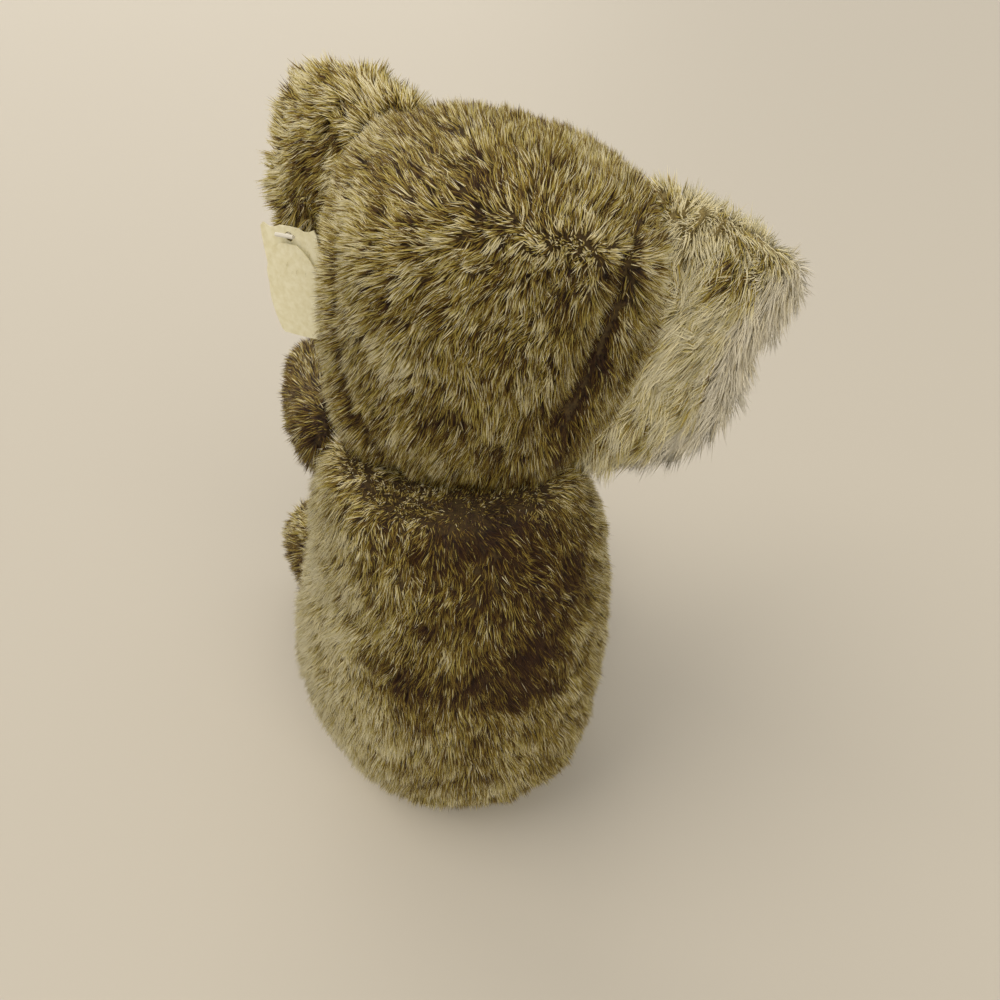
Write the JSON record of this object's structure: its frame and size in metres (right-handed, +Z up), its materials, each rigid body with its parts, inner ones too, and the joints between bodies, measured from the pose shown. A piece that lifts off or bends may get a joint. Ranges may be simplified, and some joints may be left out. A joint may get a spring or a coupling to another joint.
{
  "type": "plush toy",
  "caption": "Sitting plush koala with its head turned and tilted, large fluffy ears, stubby arms, legs stretched forward and a folded card tag pinned to one ear.",
  "frame": {"origin": "middle of the flat underside of the seat, on the surface that the toy sits on", "axes": "+Z up, -Y out of the belly towards the feet, +X to the toy's own left"},
  "size_m": [0.2003, 0.2059, 0.2875],
  "materials": {
    "back_pile": "long soft pile, olive brown with pale tips",
    "pale_pile": "long soft pile, cream",
    "ear_lining": "long soft pile, off-white",
    "seat_cloth": "pile pressed flat",
    "sole_cloth": "short soft nap",
    "filling": "loose polyester fibre",
    "black_plastic": "glossy",
    "washer_plastic": "matte",
    "card": "satin coated card",
    "clear_plastic": "translucent"
  },
  "bodies": {
    "body": {"seat_panel": "seat_cloth", "belly_panel": "pale_pile", "back_panel_left": "back_pile", "back_panel_right": "back_pile", "body_filling": "filling"},
    "head": {"head_back_panel": "back_pile", "head_side_panel_left": "back_pile", "head_side_panel_right": "back_pile", "face_panel": "back_pile", "head_filling": "filling", "muzzle_cover": "pale_pile", "nose": "black_plastic", "nose_washer": "washer_plastic", "eye_left": "black_plastic", "eye_right": "black_plastic", "eye_washer_left": "washer_plastic", "eye_washer_right": "washer_plastic"},
    "ear_left": {"ear_left_back": "back_pile", "ear_left_front": "ear_lining", "tag_pin": "clear_plastic"},
    "ear_right": {"ear_right_back": "back_pile", "ear_right_front": "ear_lining"},
    "tag": {"tag_back_leaf": "card"},
    "tag_cover": {"tag_front_leaf": "card"},
    "arm_left": {"arm_left": "back_pile", "arm_left_filling": "filling"},
    "arm_right": {"arm_right": "back_pile", "arm_right_filling": "filling"},
    "leg_left": {"leg_left": "back_pile", "leg_left_filling": "filling", "sole_left": "sole_cloth"},
    "leg_right": {"leg_right": "back_pile", "leg_right_filling": "filling", "sole_right": "sole_cloth"}
  },
  "joints": [
    {"name": "neck_turn", "type": "hinge", "parent": "body", "child": "head", "pos_m": [0, -0.005, 0.166], "axis": [0, 0, 1], "range_deg": [-20, 20], "stiffness_Nm_per_rad": 0.6},
    {"name": "arm_left_swing", "type": "hinge", "parent": "body", "child": "arm_left", "pos_m": [0.051, -0.024, 0.159], "axis": [-1, 0, 0], "range_deg": [-25, 5], "stiffness_Nm_per_rad": 0.2},
    {"name": "arm_right_swing", "type": "hinge", "parent": "body", "child": "arm_right", "pos_m": [-0.051, -0.024, 0.159], "axis": [-1, 0, 0], "range_deg": [-25, 5], "stiffness_Nm_per_rad": 0.2},
    {"name": "leg_left_swing", "type": "hinge", "parent": "body", "child": "leg_left", "pos_m": [0.044, -0.034, 0.02521], "axis": [-1, 0, 0], "range_deg": [0, 15], "stiffness_Nm_per_rad": 0.3},
    {"name": "leg_right_swing", "type": "hinge", "parent": "body", "child": "leg_right", "pos_m": [-0.044, -0.034, 0.02521], "axis": [-1, 0, 0], "range_deg": [0, 15], "stiffness_Nm_per_rad": 0.3},
    {"name": "ear_left_flap", "type": "hinge", "parent": "head", "child": "ear_left", "pos_m": [0.01804, -0.02737, 0.2411], "axis": [-0.2419, 0, 0.9703], "range_deg": [-22, 4], "stiffness_Nm_per_rad": 0.05},
    {"name": "ear_right_flap", "type": "hinge", "parent": "head", "child": "ear_right", "pos_m": [-0.05223, 0.01207, 0.21636], "axis": [-0.2419, 0, 0.9703], "range_deg": [-4, 22], "stiffness_Nm_per_rad": 0.05},
    {"name": "tag_swing", "type": "hinge", "parent": "ear_left", "child": "tag", "pos_m": [0.04758, -0.04512, 0.23918], "axis": [0.6947, 0.7193, 0], "range_deg": [-20, 5]},
    {"name": "tag_open", "type": "hinge", "parent": "tag", "child": "tag_cover", "pos_m": [0.03885, -0.03545, 0.23918], "axis": [0, 0, 1], "range_deg": [0, 60]}
  ]
}
